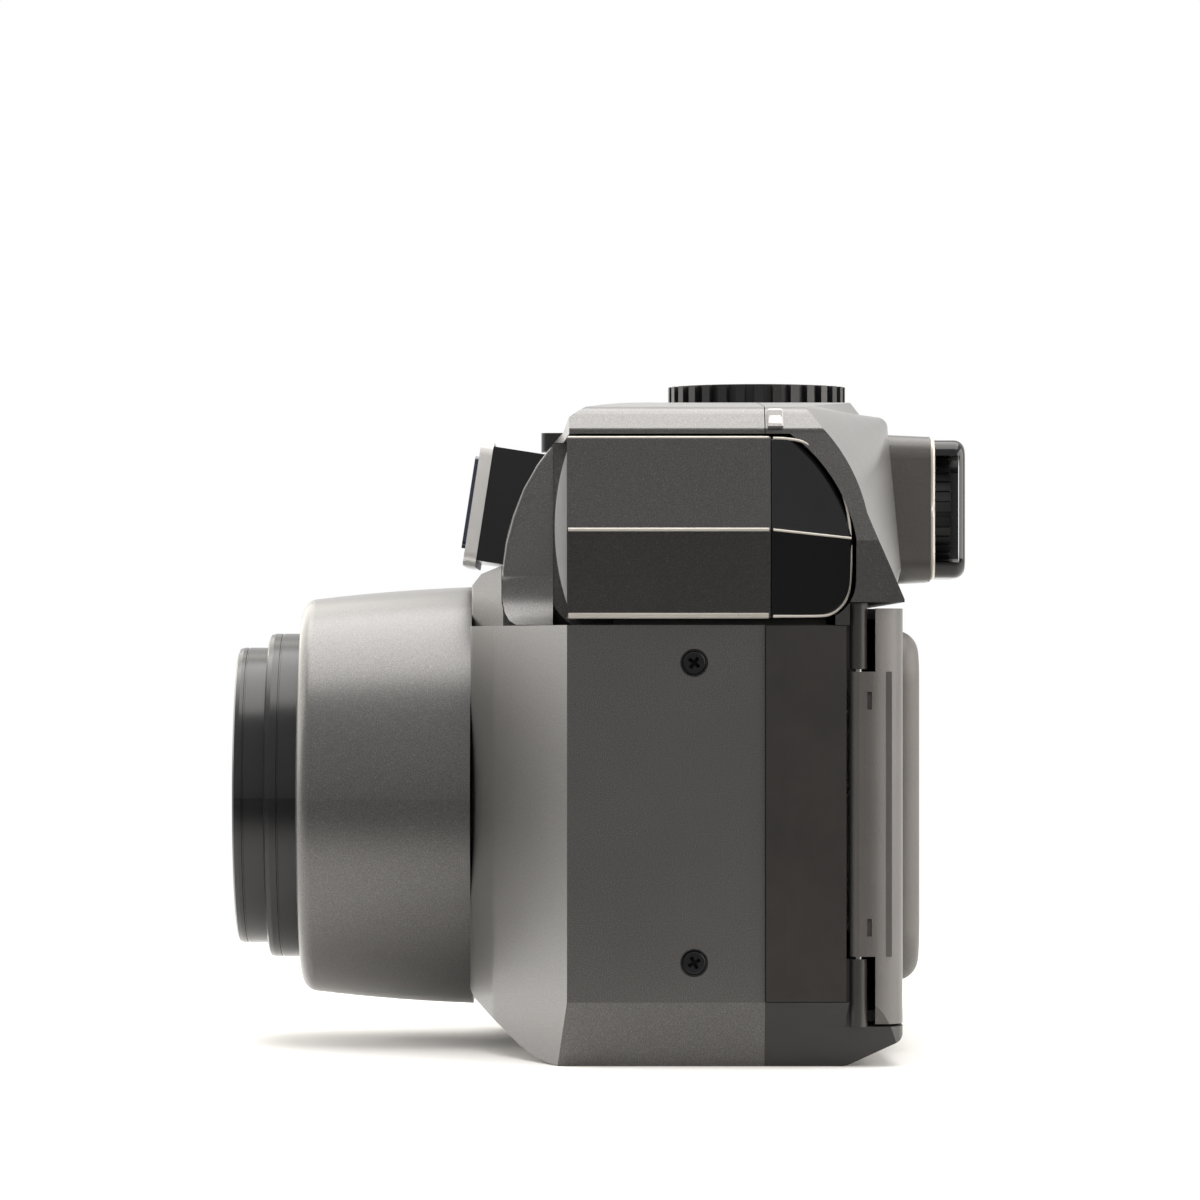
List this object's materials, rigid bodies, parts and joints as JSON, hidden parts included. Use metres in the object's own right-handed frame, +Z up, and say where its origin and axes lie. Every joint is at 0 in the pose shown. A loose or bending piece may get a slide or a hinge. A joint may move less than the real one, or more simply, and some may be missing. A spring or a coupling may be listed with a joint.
{
  "type": "compact film camera",
  "caption": "Compact 35 mm film camera with a telescoping zoom lens, side-sliding flash, hinged film door, mode dial, eyepiece and battery hatch.",
  "frame": {"origin": "centre of the tripod socket's mouth, on the base", "axes": "+Z up; -Y out of the lens towards the subject; +X towards the film door's hinge and the flash"},
  "size_m": [0.1329, 0.0878, 0.08],
  "materials": {
    "painted_cover": "satin dark grey metallic paint on moulded plastic",
    "black_cover": "semi-matt black moulded plastic",
    "gloss_black": "polished black plastic",
    "lens_black": "semi-gloss black plastic, turned",
    "grained_black": "fine-grained charcoal plastic",
    "pad_black": "fine-grained black plastic",
    "chassis_black": "matt black moulded plastic",
    "dial_black": "matt black plastic, knurled",
    "button_grey": "satin dark plastic",
    "release_silver": "brushed plated metal",
    "bright_chrome": "polished chrome plate",
    "steel": "blackened or plain steel",
    "brass": "turned brass, plated",
    "barrier_black": "black anodised sheet",
    "clear_glass": "coated optical glass",
    "clear_plastic": "clear moulded plastic",
    "finder_glass": "dark blue coated window",
    "lamp_red": "red ribbed lens",
    "cell_wrap": "printed-film sleeve on a steel can"
  },
  "bodies": {
    "camera_body": {"front_cover": "painted_cover", "top_cover": "painted_cover", "rear_top_cover": "painted_cover", "lens_shroud": "painted_cover", "rear_frame": "black_cover", "base_plate": "black_cover", "side_panel": "gloss_black", "finder_housing": "gloss_black", "eyepiece_rim": "gloss_black", "eyepiece_hood": "grained_black", "gate_frame": "chassis_black", "cassette_chamber": "chassis_black", "spool_chamber": "chassis_black", "battery_box": "chassis_black", "fixed_barrel": "chassis_black", "finder_bezel": "bright_chrome", "cover_screws": "steel", "hinge_pin": "steel", "guide_rods": "steel", "strap_lug": "steel", "film_motor": "steel", "zoom_motor": "steel", "tripod_bush": "brass", "finder_optics": "clear_glass", "lcd_window": "clear_plastic", "finder_window": "finder_glass", "timer_lamp": "lamp_red", "cells": "cell_wrap"},
    "film_door": {"film_door": "grained_black", "door_pad": "pad_black", "film_window": "clear_plastic", "plate_spring": "steel"},
    "pressure_plate": {"pressure_plate": "steel"},
    "door_latch": {"door_latch": "dial_black"},
    "battery_hatch": {"battery_hatch": "black_cover"},
    "flash": {"flash_housing": "painted_cover", "flash_back": "gloss_black", "flash_window": "clear_plastic", "flash_reflector": "bright_chrome", "flash_tube": "clear_glass"},
    "outer_tube": {"outer_tube": "lens_black"},
    "inner_tube": {"inner_tube": "lens_black", "lens_bezel": "lens_black", "front_cell": "chassis_black", "front_glass": "clear_glass", "shutter_unit": "chassis_black", "rear_glass": "clear_glass"},
    "upper_barrier": {"upper_barrier": "barrier_black"},
    "lower_barrier": {"lower_barrier": "barrier_black"},
    "mode_dial": {"mode_dial": "dial_black"},
    "shutter_release": {"shutter_release": "release_silver"},
    "zoom_lever": {"zoom_lever": "dial_black"},
    "flash_button": {"flash_button": "button_grey"},
    "timer_button": {"timer_button": "button_grey"},
    "date_button": {"date_button": "button_grey"},
    "dioptre_wheel": {"dioptre_wheel": "dial_black", "eyepiece_glass": "clear_glass"},
    "takeup_spool": {"takeup_spool": "chassis_black"},
    "counter_wheel": {"counter_wheel": "chassis_black"},
    "rewind_fork": {"rewind_fork": "chassis_black"}
  },
  "joints": [
    {"name": "door_hinge", "type": "hinge", "parent": "camera_body", "child": "film_door", "pos_m": [0.05895, 0.0174, 0.0286], "axis": [0, 0, -1], "range_deg": [0, 100]},
    {"name": "plate_slide", "type": "slide", "parent": "film_door", "child": "pressure_plate", "axis": [0, 1, 0], "range_m": [0, 0.0008], "stiffness_N_per_m": 800, "springref_m": -0.0004},
    {"name": "latch_slide", "type": "slide", "parent": "camera_body", "child": "door_latch", "axis": [0, 0, -1], "range_m": [0, 0.004], "stiffness_N_per_m": 150, "springref_m": -0.001},
    {"name": "hatch_hinge", "type": "hinge", "parent": "camera_body", "child": "battery_hatch", "pos_m": [-0.0444, 0, 0.001], "axis": [0, -1, 0], "range_deg": [0, 100]},
    {"name": "flash_slide", "type": "slide", "parent": "camera_body", "child": "flash", "axis": [1, 0, 0], "range_m": [0, 0.008]},
    {"name": "zoom_outer", "type": "slide", "parent": "camera_body", "child": "outer_tube", "axis": [0, -1, 0], "range_m": [0, 0.024]},
    {"name": "zoom_inner", "type": "slide", "parent": "outer_tube", "child": "inner_tube", "axis": [0, -1, 0], "range_m": [0, 0.024]},
    {"name": "barrier_open", "type": "slide", "parent": "inner_tube", "child": "upper_barrier", "axis": [0, 0, 1], "range_m": [0, 0.0069]},
    {"name": "barrier_open_lower", "type": "slide", "parent": "inner_tube", "child": "lower_barrier", "axis": [0, 0, -1], "range_m": [0, 0.0069]},
    {"name": "dial_turn", "type": "hinge", "parent": "camera_body", "child": "mode_dial", "pos_m": [-0.006, 0.0074, 0.077], "axis": [0, 0, 1], "continuous": true},
    {"name": "release_press", "type": "slide", "parent": "camera_body", "child": "shutter_release", "axis": [0, 0, -1], "range_m": [0, 0.001], "stiffness_N_per_m": 400, "springref_m": -0.0005},
    {"name": "zoom_turn", "type": "hinge", "parent": "camera_body", "child": "zoom_lever", "pos_m": [-0.054, -0.0085, 0.074], "axis": [0, 0, 1], "range_deg": [-20, 20], "stiffness_Nm_per_rad": 0.02},
    {"name": "flash_button_press", "type": "slide", "parent": "camera_body", "child": "flash_button", "axis": [0, 0, -1], "range_m": [0, 0.0006], "stiffness_N_per_m": 400, "springref_m": -0.0005},
    {"name": "timer_button_press", "type": "slide", "parent": "camera_body", "child": "timer_button", "axis": [0, 0, -1], "range_m": [0, 0.0006], "stiffness_N_per_m": 400, "springref_m": -0.0005},
    {"name": "date_button_press", "type": "slide", "parent": "camera_body", "child": "date_button", "axis": [0, 0, -1], "range_m": [0, 0.0006], "stiffness_N_per_m": 400, "springref_m": -0.0005},
    {"name": "dioptre_turn", "type": "hinge", "parent": "camera_body", "child": "dioptre_wheel", "pos_m": [0.012, 0.029, 0.0644], "axis": [0, 1, 0], "range_deg": [-30, 30]},
    {"name": "spool_turn", "type": "hinge", "parent": "camera_body", "child": "takeup_spool", "pos_m": [-0.0306, 0.0062, 0.0298], "axis": [0, 0, 1], "continuous": true},
    {"name": "counter_turn", "type": "hinge", "parent": "camera_body", "child": "counter_wheel", "pos_m": [-0.0146, 0.015, 0.0143], "axis": [0, 0, 1], "continuous": true},
    {"name": "rewind_turn", "type": "hinge", "parent": "camera_body", "child": "rewind_fork", "pos_m": [0.0441, 0.004, 0.008], "axis": [0, 0, 1], "continuous": true}
  ],
  "couplings": [
    {"joint": "zoom_inner", "follows": "zoom_outer", "ratio": 1},
    {"joint": "barrier_open_lower", "follows": "barrier_open", "ratio": 1}
  ]
}
